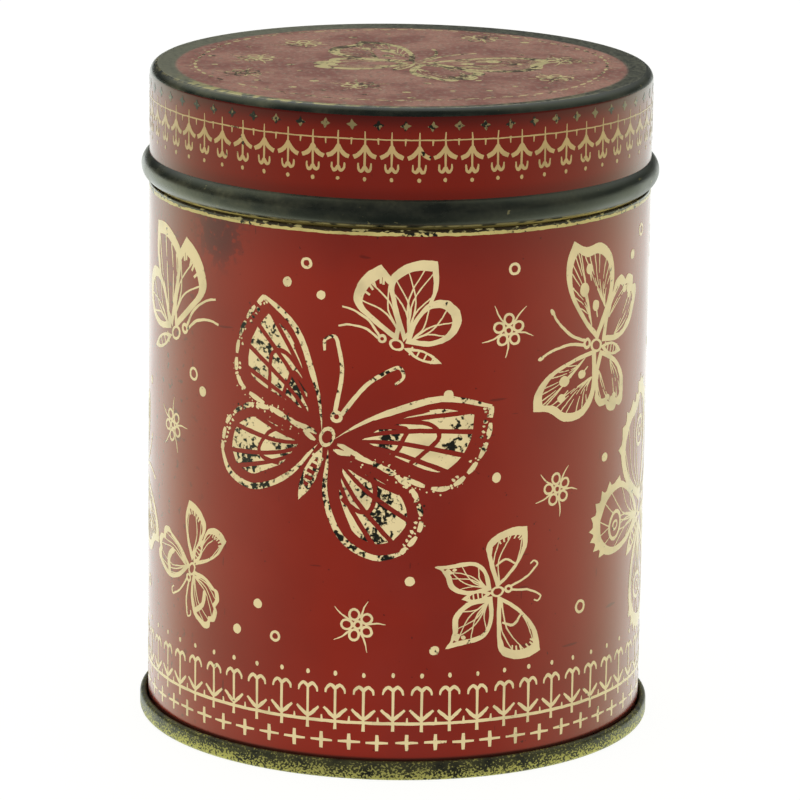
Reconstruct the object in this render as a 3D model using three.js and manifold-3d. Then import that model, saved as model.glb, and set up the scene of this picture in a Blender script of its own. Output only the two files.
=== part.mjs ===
// A round tinplate canister with a slip lid, in millimetres, +Z up, standing on z = 0.
// Four pressings: the rolled and side-seamed body, its double-seamed bottom end, the collar
// soldered into its mouth, and the lid that slips over the collar down to the body's edge.
import * as THREE from "three";
import { mergeVertices } from "three/addons/utils/BufferGeometryUtils.js";
import Module from "manifold-3d";

// Driving dimensions
const SHEET = 0.3; // tinplate thickness
const CLEARANCE = 0.3; // gap kept between neighbouring pieces
const BODY_RADIUS = 50; // outside of the printed wall, and of the lid's skirt
const BODY_TOP = 109.3; // the wall's upper edge
const TOTAL_HEIGHT = 132.7; // the lid's flat top

const RIM_RADIUS = 51.65; // outside of the bottom double seam
const RIM_HEIGHT = 3.8;
const PANEL_HEIGHT = 4.6; // upper face of the countersunk bottom panel
const PANEL_RING_RADIUS = 39; // where the bottom panel steps down
const PANEL_RING_DEPTH = 0.7;

const LID_BOTTOM = 109.85; // foot of the lid's bead
const BEAD_HEIGHT = 5.3;
const BEAD_PROUD = 1.6; // how far the bead stands out of the skirt
const SHOULDER_RADIUS = 2; // rounded edge between the lid's skirt and its top

const COLLAR_BOTTOM = 95;
const COLLAR_TOP = 131.4;
const COLLAR_HEM = 2.6; // how far the collar's rolled upper edge comes down inside

const SEAM_WIDTH = 4.5; // the folded side seam, four layers thick, inside the back of the wall
const SEAM_FOLDS = 3; // layers beyond the wall itself
const SEAM_BOTTOM = 6;
const SEAM_TOP = COLLAR_BOTTOM - 1.5; // above it the seam is a plain lap, so that the collar fits
const SEAM_GROOVE_WIDTH = 0.5; // the fold's line on the outside
const SEAM_GROOVE_DEPTH = 0.12;

const SEGMENTS = 64; // round the axis, the same for every piece so that the facets line up
const CORNER_STEPS = 2; // along the tight corners of a profile
const SHOULDER_STEPS = 4; // along the lid's shoulder
const CURVE_STEPS = 8; // along the lid's bead and the collar's rolled edge

const wasm = await Module();
wasm.setup();

// Points of an arc in a profile, radius and height of its centre given, angles in degrees.
function arc(centreRadius, centreHeight, size, fromDegrees, toDegrees, steps = CORNER_STEPS) {
  const points = [];
  for (let i = 0; i <= steps; i++) {
    const angle = THREE.MathUtils.degToRad(fromDegrees + ((toDegrees - fromDegrees) * i) / steps);
    points.push([centreRadius + size * Math.cos(angle), centreHeight + size * Math.sin(angle)]);
  }
  return points;
}

// A solid of revolution about +Z. The profile is listed anticlockwise, as seen with the radius
// to the right and the height upwards.
function turned(profile) {
  const points = profile.map(([radius, height]) => new THREE.Vector2(Math.max(radius, 0), height));
  if (profile[0][0] > 0) points.push(points[0].clone());
  const geometry = new THREE.LatheGeometry(points, SEGMENTS);
  return geometry.rotateX(Math.PI / 2);
}

function solidOf(geometry) {
  const bare = geometry.clone();
  bare.deleteAttribute("normal");
  bare.deleteAttribute("uv");
  const merged = mergeVertices(bare, 1e-4);
  const shape = new wasm.Mesh({
    numProp: 3,
    vertProperties: merged.attributes.position.array,
    triVerts: new Uint32Array(merged.index.array),
  });
  return new wasm.Manifold(shape);
}

function geometryOf(solid) {
  const shape = solid.getMesh();
  const geometry = new THREE.BufferGeometry();
  geometry.setAttribute("position", new THREE.BufferAttribute(shape.vertProperties, shape.numProp));
  geometry.setIndex(new THREE.BufferAttribute(shape.triVerts, 1));
  geometry.computeVertexNormals();
  return geometry;
}

// The double seam's layers, from the inside out: the end's chuck wall, the body wall, the end's
// hook, the body's hook and the end's outer wall.
const HOOK_GAP = (RIM_RADIUS - BODY_RADIUS - 3 * SHEET) / 3;
const END_HOOK_INNER = BODY_RADIUS + HOOK_GAP;
const BODY_HOOK_INNER = END_HOOK_INNER + SHEET + HOOK_GAP;
const CHUCK_OUTER = BODY_RADIUS - SHEET - CLEARANCE;
const BODY_HOOK_BOTTOM = SHEET + CLEARANCE;
const BODY_HOOK_TOP = RIM_HEIGHT - SHEET - CLEARANCE;
const END_HOOK_BOTTOM = BODY_HOOK_BOTTOM + SHEET + CLEARANCE;

function bodyShell() {
  const inner = BODY_RADIUS - SHEET;
  const hookOuter = BODY_HOOK_INNER + SHEET;
  const corner = 2 * SHEET;
  const wall = solidOf(
    turned([
      [inner, BODY_TOP],
      [inner, BODY_HOOK_BOTTOM + corner],
      ...arc(inner + corner, BODY_HOOK_BOTTOM + corner, corner, 180, 270),
      ...arc(hookOuter - corner, BODY_HOOK_BOTTOM + corner, corner, 270, 360),
      [hookOuter, BODY_HOOK_TOP],
      [BODY_HOOK_INNER, BODY_HOOK_TOP],
      ...arc(hookOuter - corner, BODY_HOOK_BOTTOM + corner, corner - SHEET, 360, 270),
      ...arc(inner + corner, BODY_HOOK_BOTTOM + corner, corner - SHEET, 270, 180),
      [BODY_RADIUS, BODY_TOP],
    ]),
  );
  const depth = (SEAM_FOLDS + 0.5) * SHEET;
  const fold = new THREE.BoxGeometry(SEAM_WIDTH, depth, SEAM_TOP - SEAM_BOTTOM);
  const foldOuter = BODY_RADIUS - SHEET / 2;
  fold.translate(0, foldOuter - depth / 2, (SEAM_TOP + SEAM_BOTTOM) / 2);
  const groove = new THREE.BoxGeometry(SEAM_GROOVE_WIDTH, 2, BODY_TOP);
  groove.translate(SEAM_WIDTH / 2, BODY_RADIUS - SEAM_GROOVE_DEPTH + 1, RIM_HEIGHT + 0.5 + BODY_TOP / 2);
  return geometryOf(wall.add(solidOf(fold)).subtract(solidOf(groove)));
}

function bottomEnd() {
  const chuckInner = CHUCK_OUTER - SHEET;
  const corner = 2 * SHEET;
  const panelBottom = PANEL_HEIGHT - SHEET;
  const step = PANEL_RING_RADIUS;
  const low = PANEL_RING_DEPTH;
  const outerCorner = 3 * SHEET;
  return turned([
    [0, panelBottom - low],
    [step - low, panelBottom - low],
    [step + low, panelBottom],
    ...arc(chuckInner - corner, panelBottom - corner, corner, 90, 0),
    ...arc(chuckInner + corner, corner, corner, 180, 270),
    ...arc(RIM_RADIUS - outerCorner, outerCorner, outerCorner, 270, 360),
    ...arc(RIM_RADIUS - outerCorner, RIM_HEIGHT - outerCorner, outerCorner, 0, 90),
    ...arc(END_HOOK_INNER + corner, RIM_HEIGHT - corner, corner, 90, 180),
    [END_HOOK_INNER, END_HOOK_BOTTOM],
    [END_HOOK_INNER + SHEET, END_HOOK_BOTTOM],
    ...arc(END_HOOK_INNER + corner, RIM_HEIGHT - corner, corner - SHEET, 180, 90),
    ...arc(RIM_RADIUS - outerCorner, RIM_HEIGHT - outerCorner, outerCorner - SHEET, 90, 0),
    ...arc(RIM_RADIUS - outerCorner, outerCorner, outerCorner - SHEET, 360, 270),
    ...arc(chuckInner + corner, corner, corner - SHEET, 270, 180),
    ...arc(chuckInner - corner, panelBottom - corner, corner + SHEET, 0, 90),
    [step + low - SHEET / 2, PANEL_HEIGHT],
    [step - low - SHEET / 2, PANEL_HEIGHT - low],
    [0, PANEL_HEIGHT - low],
  ]);
}

function neckCollar() {
  const outer = BODY_RADIUS - SHEET - CLEARANCE;
  const inner = outer - SHEET;
  const roll = 2 * SHEET;
  const rollHeight = COLLAR_TOP - roll;
  return turned([
    [inner, COLLAR_BOTTOM],
    [outer, COLLAR_BOTTOM],
    ...arc(outer - roll, rollHeight, roll, 0, 180, CURVE_STEPS),
    [outer - 2 * roll, rollHeight - COLLAR_HEM],
    [outer - 2 * roll + SHEET, rollHeight - COLLAR_HEM],
    ...arc(outer - roll, rollHeight, roll - SHEET, 180, 0, CURVE_STEPS),
  ]);
}

function lid() {
  const inner = BODY_RADIUS - SHEET;
  const halfBead = BEAD_HEIGHT / 2;
  const beadMiddle = LID_BOTTOM + halfBead;
  const beadArc = (halfBead ** 2 + BEAD_PROUD ** 2) / (2 * BEAD_PROUD);
  const beadCentre = BODY_RADIUS + BEAD_PROUD - beadArc;
  const outerSpan = THREE.MathUtils.radToDeg(Math.asin(halfBead / beadArc));
  const innerSpan = THREE.MathUtils.radToDeg(Math.acos((inner - beadCentre) / (beadArc - SHEET)));
  const shoulderCentre = TOTAL_HEIGHT - SHOULDER_RADIUS;
  const lip = BODY_RADIUS - SHEET + 0.05;
  const footTop = LID_BOTTOM + SHEET;
  const footSpan = THREE.MathUtils.radToDeg(Math.asin((beadMiddle - footTop) / (beadArc - SHEET)));
  return turned([
    [0, TOTAL_HEIGHT - SHEET],
    ...arc(BODY_RADIUS - SHOULDER_RADIUS, shoulderCentre, SHOULDER_RADIUS - SHEET, 90, 0, SHOULDER_STEPS),
    ...arc(beadCentre, beadMiddle, beadArc - SHEET, innerSpan, -footSpan, CURVE_STEPS),
    [lip, footTop],
    [lip, LID_BOTTOM],
    ...arc(beadCentre, beadMiddle, beadArc, -outerSpan, outerSpan, CURVE_STEPS),
    ...arc(BODY_RADIUS - SHOULDER_RADIUS, shoulderCentre, SHOULDER_RADIUS, 0, 90, SHOULDER_STEPS),
    [0, TOTAL_HEIGHT],
  ]);
}

function pressing(name, geometry, colour, roughness, metalness) {
  const material = new THREE.MeshStandardMaterial({ color: colour, roughness, metalness });
  const mesh = new THREE.Mesh(geometry, material);
  mesh.name = name;
  return mesh;
}

const can = new THREE.Group();
can.add(
  pressing("body_shell", bodyShell(), 0x7b2a1e, 0.35, 0.1),
  pressing("bottom_end", bottomEnd(), 0x4a4628, 0.5, 0.6),
  pressing("neck_collar", neckCollar(), 0xb89a58, 0.35, 0.9),
);

const canister = new THREE.Group();
canister.add(can, pressing("lid", lid(), 0x6e2c22, 0.4, 0.1));

export default canister;
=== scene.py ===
"""Looks of a round lithographed tin with a slip lid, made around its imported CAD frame."""

import cmath
import math
import random

import bpy
from mathutils import Matrix, Vector, geometry, noise


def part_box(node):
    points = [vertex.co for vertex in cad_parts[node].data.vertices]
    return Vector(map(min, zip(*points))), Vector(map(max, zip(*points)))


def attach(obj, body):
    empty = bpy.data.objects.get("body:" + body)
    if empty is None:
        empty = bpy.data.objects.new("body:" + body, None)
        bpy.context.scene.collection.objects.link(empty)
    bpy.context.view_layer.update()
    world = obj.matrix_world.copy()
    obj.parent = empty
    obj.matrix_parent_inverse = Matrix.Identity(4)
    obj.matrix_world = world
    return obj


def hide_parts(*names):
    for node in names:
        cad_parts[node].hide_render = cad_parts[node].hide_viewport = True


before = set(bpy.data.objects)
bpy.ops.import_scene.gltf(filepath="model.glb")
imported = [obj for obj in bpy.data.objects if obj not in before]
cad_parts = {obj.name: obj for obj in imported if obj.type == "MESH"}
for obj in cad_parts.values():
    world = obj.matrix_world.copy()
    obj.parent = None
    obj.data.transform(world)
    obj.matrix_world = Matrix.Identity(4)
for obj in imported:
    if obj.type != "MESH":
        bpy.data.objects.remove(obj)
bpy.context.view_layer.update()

# Sizes are in millimetres, and become metres where a mesh is made. The driving ones come from
# the frame, and the others repeat the part's own.
MM = 0.001


def reach(node):
    """A node's outer radius, lowest height and highest height."""
    low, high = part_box(node)
    return high.x / MM, low.z / MM, high.z / MM


HOOK_RADIUS, WALL_BOTTOM, WALL_TOP = reach("body_shell")
RIM_RADIUS, _, PANEL_HEIGHT = reach("bottom_end")
COLLAR_RADIUS, COLLAR_BOTTOM, COLLAR_TOP = reach("neck_collar")
BEAD_RADIUS, LID_BOTTOM, LID_TOP = reach("lid")
SHEET = 0.3
CLEARANCE = 0.3
WALL_RADIUS = COLLAR_RADIUS + CLEARANCE + SHEET
RIM_HEIGHT = 3.8
PANEL_RING_RADIUS = 39
PANEL_RING_DEPTH = 0.7
BEAD_HEIGHT = 5.3
BEAD_TOP = LID_BOTTOM + BEAD_HEIGHT
SHOULDER_RADIUS = 2
COLLAR_HEM = 2.6
SEAM_WIDTH = 4.5
SEAM_BOTTOM = 6
SEAM_TOP = COLLAR_BOTTOM - 1.5
GROOVE_X = SEAM_WIDTH / 2
GROOVE_DEPTH = 0.12
GROOVE_REACH = 0.35  # from the groove's middle to its edge
GROOVE_START = RIM_HEIGHT + 0.8

ROUND = 360
CORNER_STEPS = 6
CURVE_STEPS = 20
SHOULDER_STEPS = 12
LONG_STRETCH = 2
HOLD = 0.3  # from each end of a long stretch to the point that holds its shading flat

random.seed(41)
noise.seed_set(41)


# ---------------------------------------------------------------- meshes


def make_object(name, vertices, faces):
    """A smooth mesh object, its vertices given in millimetres."""
    mesh = bpy.data.meshes.new(name)
    mesh.from_pydata([Vector(v) * MM for v in vertices], [], faces)
    mesh.polygons.foreach_set("use_smooth", [True] * len(mesh.polygons))
    mesh.validate()
    piece = bpy.data.objects.new(name, mesh)
    bpy.context.scene.collection.objects.link(piece)
    return piece


def arc(centre_radius, centre_height, size, start, end, steps=CORNER_STEPS):
    """Points of an arc in a profile, its angles in degrees."""
    turns = [math.radians(start + (end - start) * i / steps) for i in range(steps + 1)]
    return [(centre_radius + size * math.cos(t), centre_height + size * math.sin(t)) for t in turns]


def held(profile):
    """The profile with a point near each end of its long stretches, so that shading keeps them flat."""
    points = []
    for (radius, height), (far_radius, far_height) in zip(profile, profile[1:] + profile[:1]):
        points.append((radius, height))
        wide = far_radius - radius
        tall = far_height - height
        length = math.hypot(wide, tall)
        if length > LONG_STRETCH and max(radius, far_radius) > 0:
            for share in (HOLD / length, 1 - HOLD / length):
                points.append((radius + wide * share, height + tall * share))
    return points


def lathe(name, profile, angles=None, shift=None):
    """A solid of revolution about +Z. Its profile of (radius, height) is listed anticlockwise."""
    angles = angles or [math.tau * i / ROUND for i in range(ROUND)]
    vertices = []
    rings = []
    for radius, height in held(profile):
        start = len(vertices)
        if radius == 0:
            vertices.append((0, 0, height))
            rings.append([start] * len(angles))
            continue
        for angle in angles:
            r = radius + (shift(angle, radius, height) if shift else 0)
            vertices.append((r * math.sin(angle), -r * math.cos(angle), height))
        rings.append(range(start, len(vertices)))
    if profile[0][0] > 0:
        rings.append(rings[0])
    faces = []
    for lower, upper in zip(rings, rings[1:]):
        for i in range(len(angles)):
            j = (i + 1) % len(angles)
            faces.append(list(dict.fromkeys((lower[i], lower[j], upper[j], upper[i]))))
    piece = make_object(name, vertices, faces)
    piece.data.set_sharp_from_angle(angle=math.radians(50))
    return piece


def paint_by_place(piece, materials, choose):
    """Gives each face one of the materials: choose(radius, height, outward, up) returns its number."""
    for material in materials:
        piece.data.materials.append(material)
    for face in piece.data.polygons:
        centre = face.center / MM
        radius = math.hypot(centre.x, centre.y)
        outward = (face.normal.x * centre.x + face.normal.y * centre.y) / max(radius, 1e-6)
        face.material_index = choose(radius, centre.z, outward, face.normal.z)


def wall_groove(angle, radius, height):
    """How far the fold's line at the back sinks the outside of the wall."""
    if abs(radius - WALL_RADIUS) > SHEET / 2 or height < GROOVE_START + 0.1:
        return 0
    away = abs(radius * math.sin(angle) - GROOVE_X)
    if math.cos(angle) > 0 or away > GROOVE_REACH:
        return 0
    return -GROOVE_DEPTH * (1 - away / GROOVE_REACH) ** 0.5


def wall_angles():
    """Even steps round the wall, with finer ones across the groove."""
    steps = [math.tau * i / ROUND for i in range(ROUND)]
    middle = math.pi - math.asin(GROOVE_X / WALL_RADIUS)
    steps += [middle + x / WALL_RADIUS for x in (-0.36, -0.3, -0.2, -0.1, 0, 0.1, 0.2, 0.3, 0.36)]
    return sorted(steps)


def printed_wall():
    """The body's sheet, with its hook in the bottom seam and the side seam's line at the back."""
    inner = WALL_RADIUS - SHEET
    corner = 2 * SHEET
    low = WALL_BOTTOM + corner
    hook_inner = HOOK_RADIUS - SHEET
    hook_top = RIM_HEIGHT - SHEET - CLEARANCE
    profile = [
        (inner, WALL_TOP),
        (inner, low),
        *arc(inner + corner, low, corner, 180, 270),
        *arc(HOOK_RADIUS - corner, low, corner, 270, 360),
        (HOOK_RADIUS, hook_top),
        (hook_inner, hook_top),
        *arc(HOOK_RADIUS - corner, low, corner - SHEET, 360, 270),
        *arc(inner + corner, low, corner - SHEET, 270, 180),
        (WALL_RADIUS, GROOVE_START),
        (WALL_RADIUS, GROOVE_START + 0.5),
        (WALL_RADIUS, WALL_TOP - 0.08),
        (WALL_RADIUS - 0.08, WALL_TOP),
    ]
    return lathe("printed_wall", profile, wall_angles(), wall_groove)


def side_seam_fold():
    """The folded seam inside the back of the wall: two lips, the inner one narrower."""
    outer = WALL_RADIUS - SHEET / 2
    half = SEAM_WIDTH / 2
    low = outer - 3.5 * SHEET
    outline = [
        (-half, outer),
        (-half, low + SHEET),
        (-half + 0.25, low + 0.05),
        (half - 0.7, low),
        (half - 0.5, low + SHEET * 0.9),
        (half - 0.1, low + SHEET),
        (half, low + SHEET * 1.4),
        (half, outer),
    ]
    levels = [SEAM_BOTTOM, SEAM_TOP]
    vertices = [(x, y, z) for z in levels for x, y in outline]
    count = len(outline)
    sides = [(i, (i + 1) % count, count + (i + 1) % count, count + i) for i in range(count)]
    faces = [*sides, tuple(reversed(range(count))), tuple(range(count, 2 * count))]
    piece = make_object("side_seam_fold", vertices, faces)
    piece.data.set_sharp_from_angle(angle=math.radians(25))
    return piece


def foot_rim():
    """The bottom end, whose edge is folded round the body's hook."""
    hook_gap = (RIM_RADIUS - WALL_RADIUS - 3 * SHEET) / 3
    hook_inner = WALL_RADIUS + hook_gap
    hook_bottom = WALL_BOTTOM + SHEET + CLEARANCE
    chuck = COLLAR_RADIUS - SHEET
    corner = 2 * SHEET
    outer = 3 * SHEET
    top = RIM_HEIGHT - outer
    below = PANEL_HEIGHT - SHEET
    step = PANEL_RING_RADIUS
    low = PANEL_RING_DEPTH
    profile = [
        (0, below - low),
        *arc(step - low - 1, below - low + 1, 1, 270, 315, 3),
        *arc(step + low + 1, below - 1, 1, 135, 90, 3),
        *arc(chuck - corner, below - corner, corner, 90, 0),
        *arc(chuck + corner, corner, corner, 180, 270),
        *arc(RIM_RADIUS - outer, outer, outer, 270, 360),
        *arc(RIM_RADIUS - outer, top, outer, 0, 90),
        *arc(hook_inner + corner, RIM_HEIGHT - corner, corner, 90, 180),
        (hook_inner, hook_bottom),
        (hook_inner + SHEET, hook_bottom),
        *arc(hook_inner + corner, RIM_HEIGHT - corner, corner - SHEET, 180, 90),
        *arc(RIM_RADIUS - outer, top, outer - SHEET, 90, 0),
        *arc(RIM_RADIUS - outer, outer, outer - SHEET, 360, 270),
        *arc(chuck + corner, corner, corner - SHEET, 270, 180),
        *arc(chuck - corner, below - corner, corner + SHEET, 0, 90),
        *arc(step + low + 0.9, PANEL_HEIGHT - 1.3, 1.3, 90, 135, 3),
        *arc(step - low - 1.1, PANEL_HEIGHT - low + 0.7, 0.7, 315, 270, 3),
        (0, PANEL_HEIGHT - low),
    ]
    return lathe("foot_rim", profile)


def collar_sleeve():
    """The collar inside the mouth, its upper edge rolled inwards."""
    outer = COLLAR_RADIUS
    roll = 2 * SHEET
    height = COLLAR_TOP - roll
    profile = [
        (outer - SHEET, COLLAR_BOTTOM),
        (outer, COLLAR_BOTTOM),
        *arc(outer - roll, height, roll, 0, 180, CURVE_STEPS),
        (outer - 2 * roll, height - COLLAR_HEM),
        (outer - 2 * roll + SHEET, height - COLLAR_HEM),
        *arc(outer - roll, height, roll - SHEET, 180, 0, CURVE_STEPS),
    ]
    return lathe("collar_sleeve", profile)


def slip_lid():
    """The lid, with its rounded shoulder, its hollow bead and the lip under that."""
    half = BEAD_HEIGHT / 2
    proud = BEAD_RADIUS - WALL_RADIUS
    middle = LID_BOTTOM + half
    size = (half**2 + proud**2) / (2 * proud)
    centre = BEAD_RADIUS - size
    span = math.degrees(math.asin(half / size))
    inner_span = math.degrees(math.acos((WALL_RADIUS - SHEET - centre) / (size - SHEET)))
    foot_span = math.degrees(math.asin((half - SHEET) / (size - SHEET)))
    lip = WALL_RADIUS - SHEET + 0.05
    shoulder = WALL_RADIUS - SHOULDER_RADIUS
    shoulder_height = LID_TOP - SHOULDER_RADIUS
    profile = [
        (0, LID_TOP - SHEET),
        *arc(shoulder, shoulder_height, SHOULDER_RADIUS - SHEET, 90, 0, SHOULDER_STEPS),
        *arc(centre, middle, size - SHEET, inner_span, -foot_span, CURVE_STEPS),
        (lip, LID_BOTTOM + SHEET),
        (lip, LID_BOTTOM),
        *arc(centre, middle, size, -span, span, CURVE_STEPS),
        *arc(shoulder, shoulder_height, SHOULDER_RADIUS, 0, 90, SHOULDER_STEPS),
        (0, LID_TOP),
    ]
    return lathe("slip_lid", profile)


# ---------------------------------------------------------------- printed artwork

# Points of the artwork are complex numbers, right + up * 1j, in millimetres on the flat sheet. Round
# the walls they are measured from the middle of the front, and up from the floor.


def smooth(points, steps=5):
    """A curve through the points."""
    curve = []
    for i, b in enumerate(points[:-1]):
        a = points[max(i - 1, 0)]
        c, d = points[i + 1], points[min(i + 2, len(points) - 1)]
        for j in range(steps):
            t = j / steps
            bend = (2 * a - 5 * b + 4 * c - d) * t * t + (3 * b - a - 3 * c + d) * t**3
            curve.append(0.5 * (2 * b + (c - a) * t + bend))
    return [*curve, points[-1]]


FINEST = 0.04  # the thinnest that a stroke gets


def ribbon(line, start, middle=None, end=None):
    """The outline of a stroke along a line, its width given at its start, middle and end."""
    middle = start if middle is None else middle
    end = middle if end is None else end
    last = len(line) - 1
    left = []
    right = []
    for i, point in enumerate(line):
        along = line[min(i + 1, last)] - line[max(i - 1, 0)]
        t = i / last
        width = start * (1 - t) * (1 - 2 * t) + 4 * middle * t * (1 - t) + end * t * (2 * t - 1)
        side = 1j * along / abs(along) * max(width, FINEST) / 2
        left.append(point + side)
        right.append(point - side)
    return right + left[::-1]


def stroke(points, start, middle=None, end=None):
    """A ribbon along a curve through the points."""
    return ribbon(smooth(points), start, middle, end)


def disc(centre, radius, squash, turn=0.0, steps=14):
    """A round spot, squashed across its turn."""
    spin = cmath.rect(1, math.radians(turn))
    turns = [math.tau * i / steps for i in range(steps)]
    return [centre + spin * complex(radius * math.cos(t), squash * radius * math.sin(t)) for t in turns]


def blob(centre, radius):
    """A small uneven spot."""
    count = random.choice((5, 6, 7))
    spin = random.uniform(0, math.tau)
    return [
        centre + cmath.rect(radius * random.uniform(0.6, 1.25), spin + math.tau * i / count)
        for i in range(count)
    ]


def bent(shares, root, tip, side=1, steps=5):
    """A curve whose points are given in shares of the line from root to tip, first along it and
    then to its left. A side of -1 mirrors the curve over that line."""
    axis = tip - root
    return smooth([root + axis * complex(x, y * side) for x, y in shares], steps)


def shaped(stretches, root, tip, side=1):
    """The stretches of an outline, each a curve in shares of the line from root to tip."""
    return [bent(stretch, root, tip, side) for stretch in stretches]


def closed(stretches):
    """One outline of stretches that meet end to end."""
    return [point for stretch in stretches for point in stretch[:-1]]


def leaf(root, tip, breadth):
    """A pointed oval from root to tip."""
    edge = [(0, 0), (0.22, breadth * 0.36), (0.5, breadth * 0.5), (0.78, breadth * 0.34), (1, 0)]
    far = [(x, -y) for x, y in reversed(edge)]
    return closed(shaped([edge, far], root, tip))


def shrink(outline, centre, keep):
    """The outline drawn in towards a centre, at a share of its size."""
    return [centre + (p - centre) * keep for p in outline]


def part_of(line, start, stop):
    """The points of a line from one share of it to another."""
    return line[int(start * (len(line) - 1)) : int(stop * (len(line) - 1)) + 1]


class Drawing:
    """Shapes on a flat sheet, each laid over those before it: cream ink, or a cut through it."""

    def __init__(self):
        self.shapes = []

    def ink(self, *outlines):
        self.shapes += [(outline, True) for outline in outlines]

    def cut(self, *outlines):
        self.shapes += [(outline, False) for outline in outlines]

    def ring(self, centre, radius, width, squash=1.0, turn=0.0):
        """A disc of ink with a hole that leaves it this wide."""
        self.ink(disc(centre, radius, squash, turn))
        self.cut(disc(centre, radius - width, squash, turn))

    def stamp(self, other, place, turn=0.0, size=1.0, flip=False, squeeze=1.0):
        """Copies another drawing here, turned by degrees anticlockwise. flip mirrors it and squeeze
        narrows it from side to side."""
        spin = cmath.rect(size, math.radians(turn))
        wide = -squeeze if flip else squeeze
        for outline, inked in other.shapes:
            points = [place + complex(p.real * wide, p.imag) * spin for p in outline]
            self.shapes.append((points, inked))

    def dashes(self, line, count, gap, width):
        """A broken stroke along a line, each dash thickest in its middle."""
        for i in range(count):
            piece = part_of(line, i / count, (i + 1 - gap) / count)
            if len(piece) > 1:
                self.ink(ribbon(piece, width * 0.6, width, width * 0.55))

    def stipple(self, line, count, spread, size):
        """Specks scattered along one side of a line, thinner further from it."""
        for _ in range(count):
            i = random.randrange(len(line) - 1)
            across = 1j * (line[i + 1] - line[i]) / abs(line[i + 1] - line[i])
            away = random.random() ** 1.6
            speck = size * random.uniform(0.45, 1) * (1 - 0.5 * away)
            self.ink(blob(line[i] + across * away * spread, speck))


# Outlines of wings in shares of their length: the leading edge, then the rest back to the root.
LONG_WING = (
    [(0, 0), (0.3, 0.1), (0.7, 0.13), (1, 0)],
    [(1, 0), (0.93, -0.2), (0.78, -0.36), (0.58, -0.42), (0.3, -0.24), (0, 0)],
)
BROAD_WING = (
    [(0, 0), (0.25, 0.12), (0.6, 0.2), (0.86, 0.14), (1, 0)],
    [(1, 0), (0.88, -0.12), (0.82, -0.32), (0.6, -0.44), (0.3, -0.34), (0, 0)],
)
ROUND_WING = (
    [(0, 0), (0.3, 0.22), (0.66, 0.28), (0.92, 0.14), (1, -0.06)],
    [(1, -0.06), (0.9, -0.3), (0.62, -0.4), (0.28, -0.26), (0, 0)],
)
SCALLOPED_WING = (
    [(0, 0), (0.3, 0.2), (0.62, 0.24), (0.86, 0.12)],
    [(0.86, 0.12), (0.97, 0.04), (1, -0.06), (0.93, -0.12)],
    [(0.93, -0.12), (0.97, -0.22), (0.88, -0.32), (0.78, -0.32)],
    [(0.78, -0.32), (0.72, -0.44), (0.58, -0.46), (0.5, -0.4)],
    [(0.5, -0.4), (0.24, -0.26), (0, 0)],
)
TAILED_WING = (
    [(0, 0), (0.25, 0.22), (0.56, 0.26), (0.76, 0.1)],
    [(0.76, 0.1), (0.88, 0.04), (1, 0.02), (0.86, -0.08), (0.72, -0.2)],
    [(0.72, -0.2), (0.5, -0.32), (0.24, -0.24), (0, 0)],
)


def wing(drawing, shape, root, tip, side, keep):
    """A cream wing with an opening cut in it, which leaves its tip the thickest. Returns the opening."""
    outline = closed(shaped(shape, root, tip, side))
    opening = shrink(outline, root + (tip - root) * complex(0.42, -0.05 * side), keep)
    drawing.ink(outline)
    drawing.cut(opening)
    return opening


def fan(drawing, hub, opening, count, width, start, stop):
    """Veins from a wing's root to the far side of its opening."""
    for i in range(count):
        share = start + (stop - start) * i / max(count - 1, 1)
        end = opening[int(share * len(opening)) % len(opening)]
        vein = bent([(0, 0), (0.5, 0.12), (1, 0)], hub, end, 1 if share < 0.5 else -1)
        drawing.ink(ribbon(vein, width * 1.3, width, width * 0.8))


def hatch(drawing, root, opening, count, width=0.22):
    """Fine lines along a wing, each broken once."""
    size = len(opening)
    for i in range(count):
        share = 0.17 + 0.66 * i / (count - 1)
        end = opening[int(share * size)]
        begin = root + (opening[int((0.93 if share > 0.5 else 0.07) * size)] - root) * 0.8
        line = bent([(0, 0), (0.5, 0.4 * (share - 0.5)), (1, 0)], begin, end, steps=10)
        split = random.uniform(0.35, 0.7)
        drawing.ink(ribbon(part_of(line, 0.05, split), width * 0.6, width, width * 0.6))
        drawing.ink(ribbon(part_of(line, split + 0.08, 1), width * 0.6, width, width))


def comb(drawing, opening, start, stop, count, length, width=0.5):
    """Short teeth that stand in from an opening's edge."""
    middle = sum(opening) / len(opening)
    for i in range(count):
        base = opening[int((start + (stop - start) * i / (count - 1)) * len(opening))]
        inward = (middle - base) / abs(middle - base)
        tooth = [base - inward * 0.3, base + inward * length]
        drawing.ink(ribbon(tooth, width, width * 0.9, width * 0.8))


def teeth(drawing, line, count, height):
    """A row of pointed teeth along the outside of a line."""
    for i in range(count):
        a = line[int(i / count * (len(line) - 1))]
        b = line[int((i + 1) / count * (len(line) - 1))]
        outward = -1j * (b - a) / abs(b - a)
        drawing.ink([a - outward * 0.3, a * 0.3 + b * 0.7 + outward * height, b - outward * 0.3])


def insect_body(drawing, head, tail, width, bars):
    """A head, a ring for the thorax, and a pointed abdomen with bars across it."""
    axis = head - tail
    along = axis / abs(axis)
    turn = math.degrees(cmath.phase(axis))
    abdomen = leaf(tail, tail + axis * 0.64, width * 1.5 / abs(axis))
    drawing.ink(abdomen)
    drawing.cut(shrink(abdomen, sum(abdomen) / len(abdomen), 0.6))
    for i in range(bars):
        middle = tail + axis * (0.16 + 0.36 * i / max(bars - 1, 1))
        drawing.ink(ribbon([middle - along * width * 0.4j, middle + along * width * 0.4j], 0.3))
    drawing.ring(tail + axis * 0.76, width * 0.72, width * 0.26, 0.72, turn)
    drawing.ring(head, width * 0.42, width * 0.24)


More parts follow.
